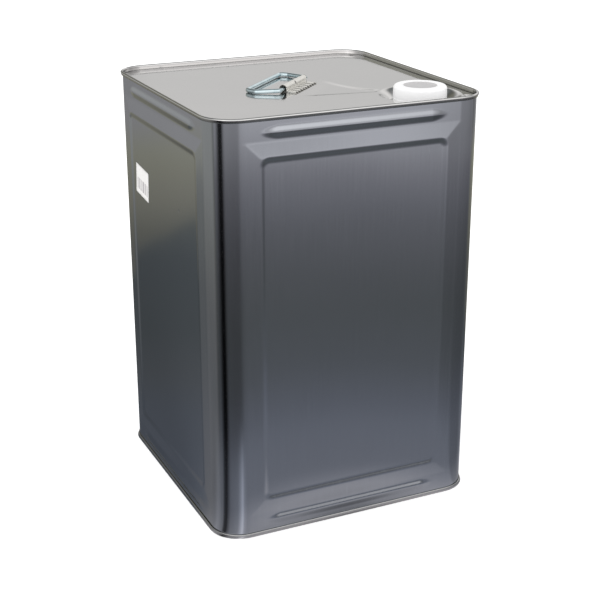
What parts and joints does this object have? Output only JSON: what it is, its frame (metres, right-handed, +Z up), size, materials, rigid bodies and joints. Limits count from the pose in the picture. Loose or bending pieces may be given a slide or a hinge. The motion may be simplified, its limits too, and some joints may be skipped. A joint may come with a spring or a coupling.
{
  "type": "square tin can",
  "caption": "Large square tin can with pressed side panels, seamed ends, a folding wire bail handle on its lid and a screw cap in one corner.",
  "frame": {"origin": "centre of the base, on the surface that the can stands on", "axes": "+Z up, +X to the right along the front face, +Y from the front face to the back; the mouth is in the front right corner"},
  "size_m": [0.238, 0.238, 0.3535],
  "materials": {
    "body_tin": "bright rolled tinplate, fine upright grain",
    "lid_tin": "bright rolled tinplate",
    "base_tin": "bright rolled tinplate",
    "bracket_tin": "pressed tinplate with spot welds",
    "zinc_wire": "bright zinc plating with a bluish cast",
    "seam_compound": "dried latex sealing compound",
    "gasket_rubber": "matt light grey rubber",
    "neck_plastic": "moulded polyethylene",
    "liner_foam": "foamed polyethylene",
    "cap_plastic": "moulded polyethylene, soft sheen",
    "sticker_paper": "coated paper"
  },
  "bodies": {
    "can": {"body_shell": "body_tin", "top_end": "lid_tin", "bottom_end": "base_tin", "top_seam_compound": "seam_compound", "bottom_seam_compound": "seam_compound", "handle_bracket": "bracket_tin", "mouth_neck": "neck_plastic", "neck_gasket": "gasket_rubber", "label_sticker": "sticker_paper"},
    "bail": {"bail": "zinc_wire"},
    "cap_liner": {"cap_liner": "liner_foam"},
    "screw_cap": {"screw_cap": "cap_plastic"}
  },
  "joints": [
    {"name": "bail_swing", "type": "hinge", "parent": "can", "child": "bail", "pos_m": [-0.0016, -0.0075, 0.34858], "axis": [0.7193, 0.6947, 0], "range_deg": [0, 180]},
    {"name": "cap_lift", "type": "slide", "parent": "can", "child": "cap_liner", "axis": [0, 0, 1], "range_m": [0, 0.06]},
    {"name": "cap_turn", "type": "hinge", "parent": "cap_liner", "child": "screw_cap", "pos_m": [0.07735, -0.07735, 0.345], "axis": [0, 0, 1], "range_deg": [0, 540]}
  ]
}
